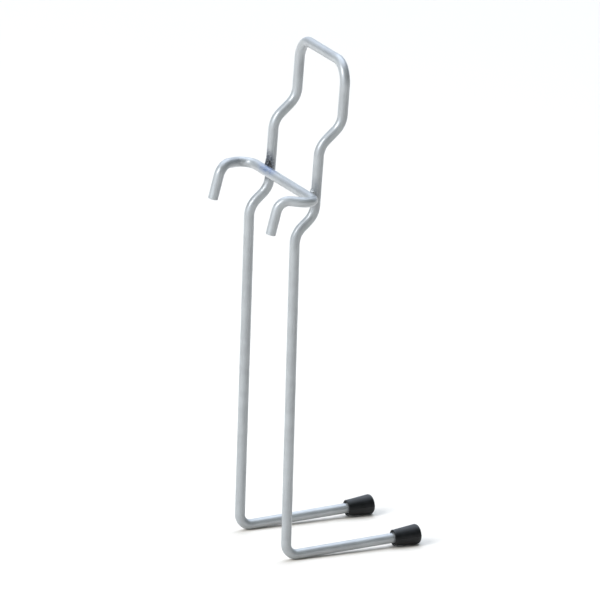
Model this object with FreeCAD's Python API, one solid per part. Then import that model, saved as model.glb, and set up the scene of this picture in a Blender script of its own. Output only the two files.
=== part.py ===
import FreeCAD, Part
import math
import os

# A rack bent from round steel wire that hangs by two hooks on a wall rail and carries a bicycle on two arms.
# All lengths are in millimetres and all angles in degrees.
#
# Axes: +X is to the right of a person who faces the wall, and -Y points away from the wall. +Z is up when
# the rack stands on a floor, on its two foot bends and its two caps.
# Origin: between the two hooks, where the middle of the rail's top edge bears.
#
# The side view is drawn in a plane of its own: "out" is the distance from the wall side towards the arms'
# ends, and "up" is the height. Both are counted from the corner where a leg's centre line meets its arm's.

# --- Wire ---
WIRE_DIAMETER = 8.0
WIRE_RADIUS = WIRE_DIAMETER / 2

# --- Frame, seen from the side: each straight run's length between corners, and its lean off plumb ---
LEG_LENGTH = 261.6
LEG_LEAN = 1.8
LOWER_KINK_LENGTH = 22.1
UPPER_KINK_LENGTH = 25.4
KINK_LEAN = 49.5
MIDDLE_LENGTH = 54.4
TOP_LENGTH = 48.2
UPPER_LEAN = 4.6

# --- Frame, seen from the front: distance between the two sides' centre lines ---
SPACING_AT_FEET = 90.2
SPACING_AT_TOP = 87.2

# --- Frame bends, radius of the centre line ---
FOOT_BEND_RADIUS = 9.0
KINK_BEND_RADIUS = 18.0
TOP_BEND_RADIUS = 17.0

# --- Arms and caps, measured along the arm from the foot corner ---
CAP_START = 92.0
CAP_LENGTH = 22.5
CAP_NARROW_RADIUS = 6.45
CAP_WIDE_RADIUS = 8.15
CAP_END_ROUNDING = 3.0
CAP_MOUTH_ROUNDING = 0.7
CAP_END_WALL = 5.0

# --- Hook wire ---
BAR_HEIGHT = 291.7
BAR_HALF_WIDTH = 70.5
HOOK_HALF_SPACING = 56.1
HOOK_DEPTH = 28.8
HOOK_RISE = 3.0
HOOK_BEND_RADIUS = 10.5
TIP_LENGTH = 28.5
TIP_LEAN = 15.5
TIP_CHAMFER = 0.5

# --- Welds: the cross bar sinks a little into the frame wire, and a bead fills the notch around it ---
WELD_SINK = 0.2
BEAD_RADIUS = 3.1
BEAD_HALF_HEIGHT = 6.2

# --- The rail that the hooks hang on ---
RAIL_THICKNESS = 12.0

# --- Accuracy of what is searched for ---
ANGLE_STEP = 1e-9
SAME_POINT = 1e-3


def side_point(start, length, lean):
    """The end of a run in the side view that rises from start, leaning out by an angle off plumb."""
    angle = math.radians(lean)
    return start[0] + length * math.sin(angle), start[1] + length * math.cos(angle)


FOOT = (0.0, 0.0)
LOWER_KINK_START = side_point(FOOT, LEG_LENGTH, LEG_LEAN)
LOWER_KINK_END = side_point(LOWER_KINK_START, LOWER_KINK_LENGTH, KINK_LEAN)
UPPER_KINK_START = side_point(LOWER_KINK_END, MIDDLE_LENGTH, UPPER_LEAN)
UPPER_KINK_END = side_point(UPPER_KINK_START, UPPER_KINK_LENGTH, KINK_LEAN)
TOP = side_point(UPPER_KINK_END, TOP_LENGTH, UPPER_LEAN)


def foot_bend_bottom(arm_rise):
    """Height of the underside of a foot bend, for an arm that rises by this angle."""
    turn = math.radians(90 + LEG_LEAN + arm_rise)
    centre_distance = FOOT_BEND_RADIUS / math.cos(turn / 2)
    centre_angle = math.radians(arm_rise) + (math.pi - turn) / 2
    return centre_distance * math.sin(centre_angle) - FOOT_BEND_RADIUS - WIRE_RADIUS


def cap_bottom(arm_rise):
    """Height of the lowest point of a cap's wide end, for an arm that rises by this angle."""
    rise = math.radians(arm_rise)
    wide_end = CAP_START + CAP_LENGTH - CAP_END_ROUNDING
    return wide_end * math.sin(rise) - CAP_WIDE_RADIUS * math.cos(rise)


def find_arm_rise():
    """The angle at which the foot bends and the caps stand on one level floor, found by halving."""
    low = 0.0
    high = 45.0
    while high - low > ANGLE_STEP:
        middle = (low + high) / 2
        if cap_bottom(middle) < foot_bend_bottom(middle):
            low = middle
        else:
            high = middle
    return low


ARM_RISE = find_arm_rise()
ARM_OUT = math.cos(math.radians(ARM_RISE))
ARM_UP = math.sin(math.radians(ARM_RISE))


def bar_out():
    """How far out the cross bar lies, so that it bears on the wall side of the frame's middle run."""
    lean = math.radians(UPPER_LEAN)
    run_out = LOWER_KINK_END[0] + (BAR_HEIGHT - LOWER_KINK_END[1]) * math.tan(lean)
    return run_out - (WIRE_DIAMETER - WELD_SINK) / math.cos(lean)


BAR_OUT = bar_out()
HOOK_OUT = BAR_OUT - HOOK_DEPTH
HOOK_HEIGHT = BAR_HEIGHT + HOOK_RISE

# The rail lies against the wall side of the legs, and its top edge under the hooks' level runs.
RAIL_OUT = LOWER_KINK_START[0] - WIRE_RADIUS - RAIL_THICKNESS / 2
HOOK_SLOPE = HOOK_RISE / HOOK_DEPTH
RAIL_TOP = BAR_HEIGHT + (BAR_OUT - RAIL_OUT) * HOOK_SLOPE - WIRE_RADIUS * math.hypot(1, HOOK_SLOPE)


def place(x, out, up):
    """A point of the rack's own frame, from its side-view place."""
    return FreeCAD.Vector(x, RAIL_OUT - out, up - RAIL_TOP)


def frame_half_spacing(up):
    """Half the distance between the two sides' centre lines at a height: they draw in towards the top."""
    share = up / TOP[1]
    return (SPACING_AT_FEET + (SPACING_AT_TOP - SPACING_AT_FEET) * share) / 2


def arm_point(along):
    """A side-view point on the arm's centre line, at a distance from the foot corner."""
    return along * ARM_OUT, along * ARM_UP


def rounded_path(corners, radii):
    """Straight runs between corners, joined by tangent arcs with the given radii."""
    edges = []
    run_start = corners[0]
    for before, corner, after, radius in zip(corners, corners[1:], corners[2:], radii):
        towards_before = (before - corner).normalize()
        towards_after = (after - corner).normalize()
        half_angle = towards_before.getAngle(towards_after) / 2
        tangent_length = radius / math.tan(half_angle)
        arc_start = corner + towards_before * tangent_length
        arc_end = corner + towards_after * tangent_length
        bisector = (towards_before + towards_after).normalize()
        arc_middle = corner + bisector * (radius / math.sin(half_angle) - radius)
        edges.append(Part.LineSegment(run_start, arc_start).toShape())
        edges.append(Part.Arc(arc_start, arc_middle, arc_end).toShape())
        run_start = arc_end
    edges.append(Part.LineSegment(run_start, corners[-1]).toShape())
    return Part.Wire(edges)


def bent_wire(corners, radii):
    """A solid round wire that follows a rounded path."""
    path = rounded_path(corners, radii)
    section = Part.Wire(Part.makeCircle(WIRE_RADIUS, corners[0], corners[1] - corners[0]))
    return path.makePipeShell([section], True, False)


def end_edges(solid, point):
    """The edges of a wire's cut end, which are centred on a point."""
    return [
        edge for edge in solid.Edges
        if isinstance(edge.Curve, Part.Circle) and edge.Curve.Center.distanceToPoint(point) < SAME_POINT
    ]


def make_frame_wire():
    """The whole frame in one wire, from the end of one arm to the end of the other."""
    arm_end = arm_point(CAP_START + CAP_LENGTH - CAP_END_WALL)
    side = [arm_end, FOOT, LOWER_KINK_START, LOWER_KINK_END, UPPER_KINK_START, UPPER_KINK_END, TOP]
    right = [place(frame_half_spacing(up), out, up) for out, up in side]
    left = [place(-frame_half_spacing(up), out, up) for out, up in reversed(side)]
    kink_radii = [KINK_BEND_RADIUS] * len(side[2:-1])
    side_radii = [FOOT_BEND_RADIUS] + kink_radii + [TOP_BEND_RADIUS]
    return bent_wire(right + left, side_radii + side_radii[::-1])


def hook_corners(sign):
    """One hook's corners, from the cut tip to the end of the cross bar; sign is the side in X."""
    lean = math.radians(TIP_LEAN)
    tip_out = HOOK_OUT - TIP_LENGTH * math.sin(lean)
    tip_height = HOOK_HEIGHT - TIP_LENGTH * math.cos(lean)
    tip = place(sign * HOOK_HALF_SPACING, tip_out, tip_height)
    shoulder = place(sign * HOOK_HALF_SPACING, HOOK_OUT, HOOK_HEIGHT)
    bar_end = place(sign * BAR_HALF_WIDTH, BAR_OUT, BAR_HEIGHT)
    return [tip, shoulder, bar_end]


def make_hook_wire(frame_wire):
    """The cross bar and its two hooks, seated in the frame wire where the two are pressed together."""
    corners = hook_corners(1) + hook_corners(-1)[::-1]
    wire = bent_wire(corners, [HOOK_BEND_RADIUS] * len(corners[1:-1]))
    tip_edges = end_edges(wire, corners[0]) + end_edges(wire, corners[-1])
    return wire.makeChamfer(TIP_CHAMFER, tip_edges).cut(frame_wire)


def make_weld(sign, frame_wire, hook_wire):
    """The bead in the notch around one crossing of the two wires: an upright capsule, cut by both wires."""
    half_straight = BEAD_HALF_HEIGHT - BEAD_RADIUS
    bottom = FreeCAD.Vector(0, 0, -half_straight)
    top = FreeCAD.Vector(0, 0, half_straight)
    round_ends = [Part.makeSphere(BEAD_RADIUS, bottom), Part.makeSphere(BEAD_RADIUS, top)]
    bead = Part.makeCylinder(BEAD_RADIUS, 2 * half_straight, bottom).fuse(round_ends)
    bead.translate(place(sign * frame_half_spacing(BAR_HEIGHT), BAR_OUT + WIRE_RADIUS, BAR_HEIGHT))
    return bead.cut(frame_wire).cut(hook_wire)


def cap_profile():
    """Half a cap's section, along X from the mouth and outwards along Z, with the bore for the wire."""
    bore_end = CAP_LENGTH - CAP_END_WALL
    cone_end = CAP_LENGTH - CAP_END_ROUNDING
    slant = 1 - math.sqrt(0.5)
    mouth_inner = FreeCAD.Vector(0, 0, CAP_NARROW_RADIUS - CAP_MOUTH_ROUNDING)
    mouth_middle = FreeCAD.Vector(
        CAP_MOUTH_ROUNDING * slant, 0, CAP_NARROW_RADIUS - CAP_MOUTH_ROUNDING * slant)
    mouth_outer = FreeCAD.Vector(CAP_MOUTH_ROUNDING, 0, CAP_NARROW_RADIUS)
    cone_rim = FreeCAD.Vector(cone_end, 0, CAP_WIDE_RADIUS)
    end_middle = FreeCAD.Vector(
        CAP_LENGTH - CAP_END_ROUNDING * slant, 0, CAP_WIDE_RADIUS - CAP_END_ROUNDING * slant)
    end_rim = FreeCAD.Vector(CAP_LENGTH, 0, CAP_WIDE_RADIUS - CAP_END_ROUNDING)
    end_centre = FreeCAD.Vector(CAP_LENGTH, 0, 0)
    bore_centre = FreeCAD.Vector(bore_end, 0, 0)
    bore_corner = FreeCAD.Vector(bore_end, 0, WIRE_RADIUS)
    mouth_bore = FreeCAD.Vector(0, 0, WIRE_RADIUS)
    return Part.Wire([
        Part.LineSegment(mouth_bore, mouth_inner).toShape(),
        Part.Arc(mouth_inner, mouth_middle, mouth_outer).toShape(),
        Part.LineSegment(mouth_outer, cone_rim).toShape(),
        Part.Arc(cone_rim, end_middle, end_rim).toShape(),
        Part.LineSegment(end_rim, end_centre).toShape(),
        Part.LineSegment(end_centre, bore_centre).toShape(),
        Part.LineSegment(bore_centre, bore_corner).toShape(),
        Part.LineSegment(bore_corner, mouth_bore).toShape(),
    ])


def make_cap(sign):
    """A rubber cap on one arm: a cone that widens towards a rounded end, with a blind bore."""
    cap = Part.Face(cap_profile()).revolve(FreeCAD.Vector(0, 0, 0), FreeCAD.Vector(1, 0, 0), 360)
    foot = place(sign * frame_half_spacing(FOOT[1]), *FOOT)
    mouth_out, mouth_up = arm_point(CAP_START)
    mouth = place(sign * frame_half_spacing(mouth_up), mouth_out, mouth_up)
    along_arm = FreeCAD.Rotation(FreeCAD.Vector(1, 0, 0), mouth - foot)
    cap.Placement = FreeCAD.Placement(mouth, along_arm)
    return cap


def make_nodes():
    """Every separate piece of the rack, by name."""
    frame_wire = make_frame_wire()
    hook_wire = make_hook_wire(frame_wire)
    nodes = {"frame_wire": frame_wire, "hook_wire": hook_wire}
    for side, sign in (("left", -1), ("right", 1)):
        nodes["weld_" + side] = make_weld(sign, frame_wire, hook_wire)
        nodes["cap_" + side] = make_cap(sign)
    return nodes


os.makedirs("parts", exist_ok=True)
for name, solid in make_nodes().items():
    solid.exportStep(f"parts/{name}.step")
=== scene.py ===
import math
import bmesh
import bpy
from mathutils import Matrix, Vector, noise


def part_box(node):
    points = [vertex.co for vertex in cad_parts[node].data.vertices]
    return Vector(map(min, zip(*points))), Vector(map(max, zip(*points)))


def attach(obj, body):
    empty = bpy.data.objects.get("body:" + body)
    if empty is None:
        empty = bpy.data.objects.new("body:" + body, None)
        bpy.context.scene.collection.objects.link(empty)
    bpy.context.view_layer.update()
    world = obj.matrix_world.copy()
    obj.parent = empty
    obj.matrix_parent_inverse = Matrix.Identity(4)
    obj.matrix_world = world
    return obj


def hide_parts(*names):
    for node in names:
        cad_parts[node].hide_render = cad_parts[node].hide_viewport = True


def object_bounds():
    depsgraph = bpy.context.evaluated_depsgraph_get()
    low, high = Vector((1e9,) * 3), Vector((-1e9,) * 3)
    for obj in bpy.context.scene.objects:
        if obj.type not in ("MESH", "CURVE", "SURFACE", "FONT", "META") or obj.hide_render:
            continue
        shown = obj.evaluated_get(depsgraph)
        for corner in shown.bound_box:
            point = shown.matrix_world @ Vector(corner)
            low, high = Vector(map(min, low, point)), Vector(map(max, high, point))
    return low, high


# A bicycle wall rack of bent round wire: silver-grey coated wires, welded at two crossings, and two rubber
# caps. Everything is in metres but the lens and the sensor, which are in millimetres, and in the CAD frame:
# +Z up, -Y along the arms, origin between the hooks.

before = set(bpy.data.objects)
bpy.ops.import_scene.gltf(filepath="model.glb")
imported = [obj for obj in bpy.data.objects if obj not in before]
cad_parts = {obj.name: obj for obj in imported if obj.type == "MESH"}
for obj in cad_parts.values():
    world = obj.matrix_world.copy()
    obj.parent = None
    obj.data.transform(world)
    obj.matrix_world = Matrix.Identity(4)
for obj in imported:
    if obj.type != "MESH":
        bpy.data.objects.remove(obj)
cad_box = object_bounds()

MM = 0.001

# --- Camera: a long lens far away, looking at a point near the middle of the rack ---
AZIMUTH = math.radians(246.1)
ELEVATION = math.radians(16.07)
CAMERA_DISTANCE = 20.0
SENSOR_WIDTH = 36.0
LENS = 1527.2
CLIP_START = 1.0
CLIP_END = 60.0
LOOK_AT = Vector((3.98, -35.69, -97.40)) * MM

# --- Light: a lamp, and soft glows in the world; a spread is the cosines where a glow starts and is full ---
SOFTBOX_FROM = (-0.16, 0.77, 0.62)
SOFTBOX_DISTANCE = 3.0
SOFTBOX_WIDTH = 0.95
SOFTBOX_HEIGHT = 1.5
SOFTBOX_POWER = 48.0
DIM_SIDE = (0.03, 0.04, 0.02, 1.0)
LEFT = (-0.20, 0.97, 0.12)
LEFT_SPREAD = (0.45, 0.98)
LEFT_GLOW = (1.82, 1.94, 2.08, 1.0)
BEHIND = (0.78, -0.52, 0.35)
BEHIND_SPREAD = (0.5, 0.95)
BEHIND_GLOW = (0.85, 0.94, 1.12, 1.0)
OVERHEAD = (0.30, -0.14, 0.94)
OVERHEAD_SPREAD = (0.70, 0.93)
OVERHEAD_GLOW = (2.34, 2.58, 2.96, 1.0)
DOWN = (0.0, 0.0, -1.0)
HORIZON_FADE = (-0.03, 0.0)
PALE_BELOW = (1.05, 1.05, 1.05, 1.0)
FLOOR_HALF = 2.6

# --- Caps, as in the CAD: measured along the arm from the mouth ---
ARM_RISE = math.radians(2.328)
CAP_LENGTH = 22.5 * MM
CAP_NARROW_RADIUS = 6.45 * MM
CAP_WIDE_RADIUS = 8.15 * MM
CAP_END_ROUNDING = 3.0 * MM
WIRE_RADIUS = 4.0 * MM
MOUTH_ROUNDING = 0.7 * MM
MOUTH_RECESS_RADIUS = 5.0 * MM
MOUTH_RECESS_DEPTH = 1.8 * MM
MOUTH_RECESS_CHAMFER = 0.3 * MM
MOUTH_FLOOR_RADIUS = WIRE_RADIUS * 0.9
LIP_ANGLES = (200, 95)
PARTING_RIDGE_HEIGHT = 0.12 * MM
PARTING_RIDGE_WIDTH = 0.35 * MM
END_DISH_DEPTH = 0.35 * MM
END_DISH_RADIUS = 3.6 * MM
END_DISH_STEPS = 8
CAP_SEGMENTS = 160
LIP_STEPS = 8
CONE_STEPS = 24
RIM_STEPS = 14
END_STEPS = 3
POINT_RADIUS = 1e-6

# --- Weld beads, offset from the wires' contact; a lump is a fineness and a height, a share of the bead ---
BEAD_SIZE = {"left": Vector((2.4, 2.2, 5.4)) * MM, "right": Vector((2.8, 2.7, 6.2)) * MM}
BEAD_OFFSET = {"left": Vector((-0.6, -1.0, 0.3)) * MM, "right": Vector((-1.3, -1.5, 0.8)) * MM}
BEAD_RINGS = 64
BEAD_SEGMENTS = 72
BEAD_SQUARENESS = 2.6
BEAD_LUMPS = ((1.7, 0.18), (4.6, 0.10), (11.0, 0.05))
BEAD_SEED = {"left": 4.3, "right": 9.7}
PAINT_COVER = {"left": 0.9, "right": 0.0}

# --- Weld soot with painted shade between the wires and a painted reflection of the crossing wire, and a heat-blued patch, placed from a weld's centre; a squeeze over one narrows a mark along that axis ---
SOOT_AND_SHADE_STRENGTH = {"left": 0.30, "right": 0.92}
SOOT_AND_SHADE_OFFSET = Vector((0.0, -0.8, 2.0)) * MM
SOOT_AND_SHADE_REACH = (4.5 * MM, 10.0 * MM)
SOOT_AND_SHADE_SQUEEZE = (0.8, 1.45, 0.62)
HEAT_OFFSET = Vector((-15.1, 4.5, 3.2)) * MM
HEAT_REACH = (1.5 * MM, 7.5 * MM)
HEAT_SQUEEZE = (0.34, 1.0, 1.0)

# --- Bare metal at the hooks' cut ends: full and gone at these heights above the lowest point ---
CUT_END_HEIGHTS = (0.9 * MM, 1.8 * MM)

# --- Where the wires change direction, and so their streaks, and how far each run leans ---
FEET = cad_box[0].z
LOWER_KINK = (FEET + 265.0 * MM, FEET + 280.0 * MM)
UPPER_KINK = (FEET + 334.0 * MM, FEET + 350.0 * MM)
KINK_BLEND = 3 * MM
FOOT_BEND_TOP = (FEET + 14 * MM, FEET + 20 * MM)
ARM_START_Y = (-16 * MM, -10 * MM)
TOP_BEND_BELOW_TOP = (10 * MM, 6 * MM)
BAR_BEND_BEYOND_BAR_Y = (8 * MM, 12 * MM)
TIP_START = (-9 * MM, -4 * MM)
LEG_LEAN = math.radians(1.8)
KINK_LEAN = math.radians(49.5)
TIP_LEAN = math.radians(15.5)


# ---------------------------------------------------------------- material graphs

class Graph:
    """Short ways to build the node graph of one material, around its Principled shader."""

    def __init__(self, name):
        self.material = bpy.data.materials.new(name)
        self.material.use_nodes = True
        self.tree = self.material.node_tree
        self.tree.nodes.clear()
        self.shader = self.tree.nodes.new("ShaderNodeBsdfPrincipled")
        output = self.tree.nodes.new("ShaderNodeOutputMaterial")
        self.join(self.shader.outputs["BSDF"], output.inputs["Surface"])
        self.place = self.tree.nodes.new("ShaderNodeTexCoord").outputs["Object"]

    def join(self, output, socket):
        """Links an output to an input socket."""
        self.tree.links.new(output, socket)

    def feed(self, socket, value):
        """Sets a socket to a number or colour, or links it to an output."""
        if isinstance(value, bpy.types.NodeSocket):
            self.join(value, socket)
        else:
            socket.default_value = value

    def maths(self, operation, first, second):
        """One Math node."""
        node = self.tree.nodes.new("ShaderNodeMath")
        node.operation = operation
        self.feed(node.inputs[0], first)
        self.feed(node.inputs[1], second)
        return node.outputs[0]

    def vector_maths(self, operation, first, second):
        """One Vector Math node; a dot product and a distance come out as numbers."""
        node = self.tree.nodes.new("ShaderNodeVectorMath")
        node.operation = operation
        self.feed(node.inputs[0], first)
        self.feed(node.inputs[1], second)
        return node.outputs["Value" if operation in ("DOT_PRODUCT", "DISTANCE") else "Vector"]

    def scaled(self, vector, factor):
        """A vector times a number."""
        node = self.tree.nodes.new("ShaderNodeVectorMath")
        node.operation = "SCALE"
        self.feed(node.inputs[0], vector)
        self.feed(node.inputs["Scale"], factor)
        return node.outputs["Vector"]

    def ramp(self, value, low, high, low_result=0.0, high_result=1.0):
        """A value taken smoothly from one range to another, and held at its ends."""
        node = self.tree.nodes.new("ShaderNodeMapRange")
        node.interpolation_type = "SMOOTHSTEP"
        self.feed(node.inputs["Value"], value)
        node.inputs["From Min"].default_value = low
        node.inputs["From Max"].default_value = high
        node.inputs["To Min"].default_value = low_result
        node.inputs["To Max"].default_value = high_result
        return node.outputs["Result"]

    def mix(self, factor, first, second):
        """A colour between two colours."""
        node = self.tree.nodes.new("ShaderNodeMix")
        node.data_type = "RGBA"
        self.feed(node.inputs["Factor"], factor)
        self.feed(node.inputs[6], first)
        self.feed(node.inputs[7], second)
        return node.outputs[2]

    def mix_vectors(self, factor, first, second):
        """A vector between two vectors."""
        node = self.tree.nodes.new("ShaderNodeMix")
        node.data_type = "VECTOR"
        self.feed(node.inputs["Factor"], factor)
        self.feed(node.inputs[4], first)
        self.feed(node.inputs[5], second)
        return node.outputs[1]

    def noise(self, size, place=None, detail=2.0, roughness=0.5):
        """Noise whose features are about this size, in metres."""
        node = self.tree.nodes.new("ShaderNodeTexNoise")
        self.join(place or self.place, node.inputs["Vector"])
        node.inputs["Scale"].default_value = 1.0 / size
        node.inputs["Detail"].default_value = detail
        node.inputs["Roughness"].default_value = roughness
        return node.outputs["Fac"]

    def coordinate(self, axis):
        """The place of the shaded point along one axis."""
        node = self.tree.nodes.new("ShaderNodeSeparateXYZ")
        self.join(self.place, node.inputs[0])
        return node.outputs[axis]

    def stretched(self, direction, length):
        """Coordinates in which a pattern is this many times longer along a direction."""
        along = self.vector_maths("DOT_PRODUCT", self.place, direction)
        shift = self.scaled(direction, self.maths("MULTIPLY", along, 1.0 / length - 1.0))
        return self.vector_maths("ADD", self.place, shift)

    def between(self, value, low, high, blend):
        """One between two limits and nought outside them."""
        rise = self.ramp(value, low - blend, low + blend)
        fall = self.ramp(value, high - blend, high + blend, 1.0, 0.0)
        return self.maths("MULTIPLY", rise, fall)

    def near(self, point, inner, outer, scale=(1.0, 1.0, 1.0)):
        """One near a point and nought beyond the outer distance; scale squeezes the shape of that spot."""
        offset = self.vector_maths("SUBTRACT", self.place, point)
        shaped = self.vector_maths("MULTIPLY", offset, scale)
        distance = self.vector_maths("DISTANCE", shaped, (0.0, 0.0, 0.0))
        return self.ramp(distance, inner, outer, 1.0, 0.0)

    def bump(self, heights):
        """Surface relief from pairs of a height output and its full height in metres."""
        normal = None
        for height, full in heights:
            node = self.tree.nodes.new("ShaderNodeBump")
            node.inputs["Distance"].default_value = full
            self.join(height, node.inputs["Height"])
            if normal:
                self.join(normal, node.inputs["Normal"])
            normal = node.outputs["Normal"]
        self.join(normal, self.shader.inputs["Normal"])

    def surface(self, colour, roughness):
        """The shader's colour and roughness."""
        self.feed(self.shader.inputs["Base Color"], colour)
        self.feed(self.shader.inputs["Roughness"], roughness)

    def settings(self, values):
        """The shader's other values, each the same all over the surface."""
        for name, value in values.items():
            self.shader.inputs[name].default_value = value


# ---------------------------------------------------------------- where things are

def weld_centre(side):
    """The contact point of the two wires at one crossing."""
    low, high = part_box("weld_" + side)
    bar_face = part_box("hook_wire")[0].y
    return Vector(((low.x + high.x) / 2, bar_face, (low.z + high.z) / 2))


def cap_mouth(side):
    """Where the arm's axis enters a cap, worked out from the CAD cap's box."""
    low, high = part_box("cap_" + side)
    rim = CAP_LENGTH - CAP_END_ROUNDING
    end_radius = CAP_WIDE_RADIUS - CAP_END_ROUNDING
    reach = rim * math.cos(ARM_RISE) + end_radius * math.sin(ARM_RISE) + CAP_END_ROUNDING
    return Vector(((low.x + high.x) / 2, low.y + reach, (low.z + high.z) / 2 - rim * math.sin(ARM_RISE)))


def lean_direction(lean):
    """The direction of a run that rises away from the wall, leaning off plumb."""
    return Vector((0.0, -math.sin(lean), math.cos(lean)))


# ---------------------------------------------------------------- materials

COAT_COLOUR = (0.335, 0.350, 0.362, 1.0)
COAT_PALE = (0.380, 0.398, 0.410, 1.0)
COAT_DARK = (0.270, 0.285, 0.298, 1.0)
# Dark colour at the crossings: weld soot, and also painted shade and a painted reflection of the crossing
# wire on the frame wire.
SOOT_AND_SHADE_COLOUR = (0.030, 0.040, 0.062, 1.0)
HEAT_BLUE = (0.150, 0.212, 0.355, 1.0)
SCORCHED_BLUE = (0.055, 0.085, 0.210, 1.0)
BARE_STEEL = (0.190, 0.185, 0.180, 1.0)
WELD_BLACK = (0.012, 0.013, 0.016, 1.0)
WELD_GREY = (0.060, 0.066, 0.080, 1.0)
RUBBER_BLACK = (0.0050, 0.0055, 0.0062, 1.0)
RUBBER_WORN = (0.0090, 0.0097, 0.0108, 1.0)
RUBBER_SCUFF = (0.035, 0.036, 0.038, 1.0)
FLOOR_COLOUR = (0.765, 0.716, 0.655, 1.0)
FLOOR_PALE = (0.775, 0.726, 0.665, 1.0)
STREAK_LENGTH = 30.0
SCUFF_LENGTH = 6.0
X_AXIS = Vector((1.0, 0.0, 0.0))
Y_AXIS = Vector((0.0, 1.0, 0.0))
ARM_DIRECTION = Vector((0.0, -math.cos(ARM_RISE), math.sin(ARM_RISE)))
TIP_DIRECTION = Vector((0.0, math.sin(TIP_LEAN), -math.cos(TIP_LEAN)))


def frame_streak_coordinates(graph):
    """Coordinates stretched along the frame wire, whichever way it runs."""
    height = graph.coordinate("Z")
    place_y = graph.coordinate("Y")
    legs = graph.stretched(lean_direction(LEG_LEAN), STREAK_LENGTH)
    kinks = graph.stretched(lean_direction(KINK_LEAN), STREAK_LENGTH)
    arms = graph.stretched(ARM_DIRECTION, STREAK_LENGTH)
    top = graph.stretched(X_AXIS, STREAK_LENGTH)
    in_lower_kink = graph.between(height, *LOWER_KINK, KINK_BLEND)
    in_upper_kink = graph.between(height, *UPPER_KINK, KINK_BLEND)
    in_kink = graph.maths("ADD", in_lower_kink, in_upper_kink)
    low = graph.ramp(height, *FOOT_BEND_TOP, 1.0, 0.0)
    past_bend = graph.ramp(place_y, *ARM_START_Y, 1.0, 0.0)
    in_arm = graph.maths("MULTIPLY", low, past_bend)
    top_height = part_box("frame_wire")[1].z
    in_top = graph.ramp(height, *[top_height - below for below in TOP_BEND_BELOW_TOP])
    upright = graph.mix_vectors(in_kink, legs, kinks)
    with_arms = graph.mix_vectors(in_arm, upright, arms)
    return graph.mix_vectors(in_top, with_arms, top)


def hook_streak_coordinates(graph):
    """Coordinates stretched along the hook wire: the bar, the two runs to the wall side and the two tips."""
    height = graph.coordinate("Z")
    place_y = graph.coordinate("Y")
    bar = graph.stretched(X_AXIS, STREAK_LENGTH)
    runs = graph.stretched(Y_AXIS, STREAK_LENGTH)
    tips = graph.stretched(TIP_DIRECTION, STREAK_LENGTH)
    bar_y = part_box("hook_wire")[0].y
    in_run = graph.ramp(place_y, *[bar_y + beyond for beyond in BAR_BEND_BEYOND_BAR_Y])
    in_tip = graph.ramp(height, *TIP_START, 1.0, 0.0)
    return graph.mix_vectors(in_tip, graph.mix_vectors(in_run, bar, runs), tips)


def coat_wire(graph, streak_place):
    """The silver-grey coating: mottled colour, draw lines, orange peel and a semi-gloss clear surface."""
    streaks = graph.noise(0.9 * MM, streak_place, detail=3.0, roughness=0.6)
    clouds = graph.noise(14 * MM, detail=3.0, roughness=0.55)
    mottle = graph.noise(1.6 * MM, detail=3.0, roughness=0.6)
    peel = graph.noise(0.8 * MM, detail=1.5)
    grain = graph.noise(0.16 * MM, detail=2.0)
    colour = graph.mix(graph.ramp(clouds, 0.35, 0.65), COAT_COLOUR, COAT_PALE)
    colour = graph.mix(graph.ramp(mottle, 0.52, 0.78, 0.0, 0.45), colour, COAT_PALE)
    colour = graph.mix(graph.ramp(streaks, 0.54, 0.74, 0.0, 0.45), colour, COAT_DARK)
    mottled_roughness = graph.ramp(mottle, 0.3, 0.7, 0.30, 0.42)
    streak_roughness = graph.ramp(streaks, 0.5, 0.8, 0.0, 0.08)
    roughness = graph.maths("ADD", mottled_roughness, streak_roughness)
    graph.bump([(streaks, 0.010 * MM), (peel, 0.014 * MM), (grain, 0.0025 * MM)])
    graph.settings({"Metallic": 0.30, "Specular IOR Level": 0.5, "Coat Weight": 0.30, "Coat Roughness": 0.09})
    return colour, roughness


def darken_near_welds(graph, colour, roughness):
    """Darker coating round each crossing: weld soot, with painted shade between the wires and a painted
    reflection of the crossing wire above it, strongest at the right-hand crossing.
    """
    ragged = graph.noise(2.2 * MM, detail=4.0, roughness=0.65)
    for side, strength in SOOT_AND_SHADE_STRENGTH.items():
        spot = graph.near(weld_centre(side) + SOOT_AND_SHADE_OFFSET, *SOOT_AND_SHADE_REACH, SOOT_AND_SHADE_SQUEEZE)
        broken = graph.maths("MULTIPLY", spot, graph.ramp(ragged, 0.30, 0.56, 0.45, 1.0))
        amount = graph.maths("MULTIPLY", broken, strength)
        # Painted shade and painted reflection of the crossing wire, with weld soot, mixed into the coating's
        # colour.
        colour = graph.mix(amount, colour, SOOT_AND_SHADE_COLOUR)
        roughness = graph.maths("SUBTRACT", roughness, graph.maths("MULTIPLY", amount, 0.12))
    return colour, roughness


def make_frame_coat():
    """The frame wire's coating."""
    graph = Graph("frame_coat")
    colour, roughness = coat_wire(graph, frame_streak_coordinates(graph))
    colour, roughness = darken_near_welds(graph, colour, roughness)
    graph.surface(colour, roughness)
    return graph.material


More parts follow.
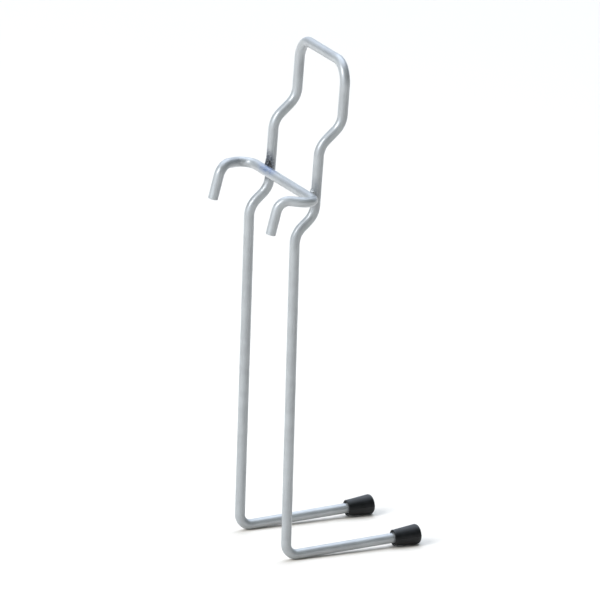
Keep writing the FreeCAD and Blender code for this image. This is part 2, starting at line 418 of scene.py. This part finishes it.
def make_hook_coat():
    """The hook wire's coating, with a heat-blued patch by the right-hand crossing and worn cut ends."""
    graph = Graph("hook_coat")
    colour, roughness = coat_wire(graph, hook_streak_coordinates(graph))
    patch = graph.near(weld_centre("right") + HEAT_OFFSET, *HEAT_REACH, HEAT_SQUEEZE)
    ragged = graph.noise(2.6 * MM, detail=4.0, roughness=0.6)
    blued = graph.maths("MULTIPLY", patch, graph.ramp(ragged, 0.34, 0.58, 0.30, 0.90))
    colour = graph.mix(blued, colour, HEAT_BLUE)
    blotches = graph.noise(1.5 * MM, detail=2.0)
    scorched = graph.maths("MULTIPLY", patch, graph.ramp(blotches, 0.52, 0.66, 0.0, 0.75))
    colour = graph.mix(scorched, colour, SCORCHED_BLUE)
    low_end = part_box("hook_wire")[0].z
    limits = [low_end + above for above in CUT_END_HEIGHTS]
    cut_end = graph.ramp(graph.coordinate("Z"), *limits, 1.0, 0.0)
    worn = graph.maths("MULTIPLY", cut_end, graph.ramp(ragged, 0.45, 0.60, 0.1, 0.8))
    colour = graph.mix(worn, colour, BARE_STEEL)
    graph.surface(colour, roughness)
    return graph.material


def make_weld_metal(side, paint_cover):
    """Dark glossy weld metal, pitted, with the coating lying on part of it."""
    graph = Graph("weld_metal_" + side)
    lumps = graph.noise(1.1 * MM, detail=3.0, roughness=0.6)
    pits = graph.noise(0.45 * MM, detail=2.0)
    cover_shift = paint_cover * 0.3
    coated = graph.ramp(lumps, 0.62 - cover_shift, 0.70 - cover_shift)
    metal = graph.mix(graph.ramp(pits, 0.35, 0.7), WELD_BLACK, WELD_GREY)
    graph.surface(graph.mix(coated, metal, COAT_PALE), graph.ramp(pits, 0.3, 0.7, 0.14, 0.34))
    graph.bump([(lumps, 0.25 * MM), (pits, 0.10 * MM)])
    graph.settings({"Metallic": 0.25, "Coat Weight": 0.6, "Coat Roughness": 0.08})
    return graph.material


def make_rubber():
    """Black moulded rubber: fine grain, faint scuffs and a satin surface."""
    graph = Graph("cap_rubber_black")
    grain = graph.noise(0.22 * MM, detail=3.0, roughness=0.6)
    clouds = graph.noise(5 * MM, detail=4.0, roughness=0.6)
    scuffs = graph.noise(0.7 * MM, graph.stretched(X_AXIS, SCUFF_LENGTH), detail=3.0)
    colour = graph.mix(graph.ramp(clouds, 0.35, 0.7), RUBBER_BLACK, RUBBER_WORN)
    colour = graph.mix(graph.ramp(scuffs, 0.60, 0.80, 0.0, 0.35), colour, RUBBER_SCUFF)
    clouded_roughness = graph.ramp(clouds, 0.3, 0.7, 0.36, 0.48)
    scuff_roughness = graph.ramp(scuffs, 0.55, 0.8, 0.0, 0.12)
    graph.surface(colour, graph.maths("ADD", clouded_roughness, scuff_roughness))
    graph.bump([(clouds, 0.03 * MM), (grain, 0.010 * MM)])
    graph.settings({"Specular IOR Level": 0.26})
    return graph.material


def make_floor_material():
    """The plain pale floor."""
    graph = Graph("studio_floor")
    tone = graph.noise(0.6, detail=1.0)
    graph.surface(graph.mix(tone, FLOOR_COLOUR, FLOOR_PALE), 0.9)
    graph.settings({"Specular IOR Level": 0.1})
    return graph.material


# ---------------------------------------------------------------- pieces

def mesh_piece(name, builder, side, material):
    """A new piece from a function that fills an empty bmesh for one side, riding on the rack's one body."""
    shape = bmesh.new()
    builder(shape, side)
    bmesh.ops.recalc_face_normals(shape, faces=shape.faces)
    mesh = bpy.data.meshes.new(name)
    shape.to_mesh(mesh)
    shape.free()
    mesh.shade_smooth()
    mesh.materials.append(material)
    piece = bpy.data.objects.new(name, mesh)
    bpy.context.scene.collection.objects.link(piece)
    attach(piece, "root")
    return piece


def ring_surface(shape, rings):
    """Faces between closed rings of points that follow one another; a ring may be a single point."""
    previous = [shape.verts.new(point) for point in rings[0]]
    for ring in rings[1:]:
        current = [shape.verts.new(point) for point in ring]
        join_rings(shape, previous, current)
        previous = current


def join_rings(shape, first, second):
    """The faces between two neighbouring rings, either of which may be a single point."""
    count = max(len(first), len(second))
    for index in range(count):
        following = (index + 1) % count
        corners = [first[index % len(first)], first[following % len(first)]]
        corners += [second[following % len(second)], second[index % len(second)]]
        shape.faces.new(list(dict.fromkeys(corners)))


def arc_points(centre, radius, start, end, steps):
    """Points (along, radius) of an arc in a cap's section, from one angle to another in degrees."""
    points = []
    for step in range(steps + 1):
        angle = math.radians(start + (end - start) * step / steps)
        points.append((centre[0] + radius * math.cos(angle), centre[1] + radius * math.sin(angle)))
    return points


def straight_points(start, end, steps):
    """Points of a straight stretch in a cap's section, with its first point and without its last."""
    return [
        (start[0] + (end[0] - start[0]) * step / steps, start[1] + (end[1] - start[1]) * step / steps)
        for step in range(steps)
    ]


def cap_section():
    """Half a cap's section as (along, radius), from the recess round the wire to the dished end's centre."""
    rim_centre = (CAP_LENGTH - CAP_END_ROUNDING, CAP_WIDE_RADIUS - CAP_END_ROUNDING)
    lip_centre = (MOUTH_ROUNDING, CAP_NARROW_RADIUS - MOUTH_ROUNDING)
    section = [
        (MOUTH_RECESS_DEPTH, MOUTH_FLOOR_RADIUS),
        (MOUTH_RECESS_DEPTH, MOUTH_RECESS_RADIUS - MOUTH_RECESS_CHAMFER),
        (MOUTH_RECESS_DEPTH - MOUTH_RECESS_CHAMFER, MOUTH_RECESS_RADIUS)]
    section += arc_points(lip_centre, MOUTH_ROUNDING, *LIP_ANGLES, LIP_STEPS)
    section += straight_points(section[-1], (rim_centre[0], CAP_WIDE_RADIUS), CONE_STEPS)[1:]
    section += arc_points(rim_centre, CAP_END_ROUNDING, 90, 0, RIM_STEPS)
    section += straight_points((CAP_LENGTH, rim_centre[1]), (CAP_LENGTH, END_DISH_RADIUS), END_STEPS)[1:]
    for step in range(END_DISH_STEPS + 1):
        share = 1 - step / END_DISH_STEPS
        dip = END_DISH_DEPTH * 0.5 * (1 + math.cos(math.pi * share))
        section.append((CAP_LENGTH - dip, END_DISH_RADIUS * share))
    return section


def parting_ridge(angle):
    """How far the mould's parting line stands out at an angle round the cap, as a share of its height."""
    distance = abs(math.sin(angle)) * CAP_WIDE_RADIUS
    return math.exp(-(distance / PARTING_RIDGE_WIDTH) ** 2)


def build_cap(shape, side):
    """A lathe-like cap: every ring is round but for the parting line's two thin ridges."""
    mouth = cap_mouth(side)
    upward = ARM_DIRECTION.cross(X_AXIS)
    rings = []
    for distance, radius in cap_section():
        centre = mouth + ARM_DIRECTION * distance
        if radius < POINT_RADIUS:
            rings.append([centre])
            continue
        outside = 1.0 if radius > MOUTH_RECESS_RADIUS and distance > MOUTH_ROUNDING else 0.0
        ring = []
        for index in range(CAP_SEGMENTS):
            angle = math.tau * index / CAP_SEGMENTS
            reach = radius + outside * PARTING_RIDGE_HEIGHT * (parting_ridge(angle) - 1.0)
            ring.append(centre + (X_AXIS * math.cos(angle) + upward * math.sin(angle)) * reach)
        rings.append(ring)
    ring_surface(shape, rings)


def bead_reach(direction, seed):
    """How far a weld bead's skin lies out in a direction, as a share of its plain size."""
    offset = Vector((seed, 2.0 * seed, 3.0 * seed))
    fullness = sum(abs(part) ** BEAD_SQUARENESS for part in direction) ** (-1 / BEAD_SQUARENESS)
    lumpiness = 1.0
    for fineness, height in BEAD_LUMPS:
        lumpiness += height * noise.noise(direction * fineness + offset)
    return fullness * lumpiness


def build_bead(shape, side):
    """An uneven upright bead round the contact of the two wires."""
    centre = weld_centre(side) + BEAD_OFFSET[side]
    rings = []
    for ring_index in range(BEAD_RINGS + 1):
        tilt = math.pi * ring_index / BEAD_RINGS
        count = 1 if ring_index in (0, BEAD_RINGS) else BEAD_SEGMENTS
        ring = []
        for index in range(count):
            turn = math.tau * index / count
            width = math.sin(tilt)
            direction = Vector((width * math.cos(turn), width * math.sin(turn), math.cos(tilt)))
            ring.append(centre + direction * BEAD_SIZE[side] * bead_reach(direction, BEAD_SEED[side]))
        rings.append(ring)
    ring_surface(shape, rings)


# ---------------------------------------------------------------- stage, lights and camera

def build_floor():
    """A large flat floor that the rack stands on."""
    shape = bmesh.new()
    corners = [(-1, -1), (1, -1), (1, 1), (-1, 1)]
    shape.faces.new([shape.verts.new((x * FLOOR_HALF, y * FLOOR_HALF, FEET)) for x, y in corners])
    mesh = bpy.data.meshes.new("studio_floor")
    shape.to_mesh(mesh)
    shape.free()
    mesh.materials.append(make_floor_material())
    floor = bpy.data.objects.new("studio_floor", mesh)
    bpy.context.scene.collection.objects.link(floor)


def back_direction(azimuth, elevation):
    """The direction from the rack towards a place round it; azimuth nought is on the -Y side."""
    return Vector((
        math.sin(azimuth) * math.cos(elevation),
        -math.cos(azimuth) * math.cos(elevation),
        math.sin(elevation)))


def make_camera():
    """A long lens far away, so that the view is almost without perspective."""
    data = bpy.data.cameras.new("camera")
    data.sensor_width = SENSOR_WIDTH
    data.lens = LENS
    data.clip_start = CLIP_START
    data.clip_end = CLIP_END
    camera = bpy.data.objects.new("camera", data)
    back = back_direction(AZIMUTH, ELEVATION)
    camera.location = LOOK_AT + back * CAMERA_DISTANCE
    camera.rotation_mode = "QUATERNION"
    camera.rotation_quaternion = (-back).to_track_quat("-Z", "Y")
    bpy.context.scene.collection.objects.link(camera)
    bpy.context.scene.camera = camera


def make_softbox():
    """A tall soft lamp that shines down on the rack from the camera's left."""
    data = bpy.data.lights.new("softbox", "AREA")
    data.shape = "RECTANGLE"
    data.size = SOFTBOX_WIDTH
    data.size_y = SOFTBOX_HEIGHT
    data.energy = SOFTBOX_POWER
    light = bpy.data.objects.new("softbox", data)
    direction = Vector(SOFTBOX_FROM).normalized()
    light.location = LOOK_AT + direction * SOFTBOX_DISTANCE
    light.rotation_mode = "QUATERNION"
    light.rotation_quaternion = direction.to_track_quat("Z", "Y")
    bpy.context.scene.collection.objects.link(light)


def world_lobe(tree, direction, towards, limits):
    """One close round a direction and nought far from it; the limits are cosines, the outer one first."""
    dot = tree.nodes.new("ShaderNodeVectorMath")
    dot.operation = "DOT_PRODUCT"
    tree.links.new(direction, dot.inputs[0])
    dot.inputs[1].default_value = Vector(towards).normalized()
    step = tree.nodes.new("ShaderNodeMapRange")
    step.interpolation_type = "SMOOTHSTEP"
    step.inputs["From Min"].default_value = limits[0]
    step.inputs["From Max"].default_value = limits[1]
    tree.links.new(dot.outputs["Value"], step.inputs["Value"])
    return step.outputs["Result"]


def world_blend(tree, kind, factor, light, colour):
    """A colour added to the light, or put in its place, by a factor."""
    node = tree.nodes.new("ShaderNodeMix")
    node.data_type = "RGBA"
    node.blend_type = kind
    node.clamp_result = False
    tree.links.new(factor, node.inputs["Factor"])
    tree.links.new(light, node.inputs[6])
    node.inputs[7].default_value = colour
    return node.outputs[2]


def make_world():
    """A studio round the rack, dim but for soft glows on the camera's left, behind the rack and overhead."""
    world = bpy.data.worlds.new("studio")
    world.use_nodes = True
    bpy.context.scene.world = world
    tree = world.node_tree
    tree.nodes.clear()
    output = tree.nodes.new("ShaderNodeOutputWorld")
    background = tree.nodes.new("ShaderNodeBackground")
    tree.links.new(background.outputs[0], output.inputs["Surface"])
    direction = tree.nodes.new("ShaderNodeTexCoord").outputs["Generated"]
    dim = tree.nodes.new("ShaderNodeRGB")
    dim.outputs[0].default_value = DIM_SIDE
    light = dim.outputs[0]
    for towards, limits, glow in (
            (LEFT, LEFT_SPREAD, LEFT_GLOW),
            (BEHIND, BEHIND_SPREAD, BEHIND_GLOW),
            (OVERHEAD, OVERHEAD_SPREAD, OVERHEAD_GLOW)):
        light = world_blend(tree, "ADD", world_lobe(tree, direction, towards, limits), light, glow)
    light = world_blend(tree, "MIX", world_lobe(tree, direction, DOWN, HORIZON_FADE), light, PALE_BELOW)
    tree.links.new(light, background.inputs["Color"])


# ---------------------------------------------------------------- the scene

def dress_wires():
    """Gives the two CAD wires their coatings."""
    for node, material in (("frame_wire", make_frame_coat()), ("hook_wire", make_hook_coat())):
        for material_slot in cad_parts[node].material_slots:
            material_slot.material = material


def add_pieces():
    """The weld beads and the caps, which stand for the plain CAD ones."""
    rubber = make_rubber()
    for side, paint_cover in PAINT_COVER.items():
        metal = make_weld_metal(side, paint_cover)
        bead = mesh_piece("weld_bead_" + side, build_bead, side, metal)
        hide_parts("weld_" + side)
        cap = mesh_piece("rubber_cap_" + side, build_cap, side, rubber)
        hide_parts("cap_" + side)


make_camera()
build_floor()
make_world()
make_softbox()
bpy.context.scene.view_settings.view_transform = "Standard"
dress_wires()
add_pieces()
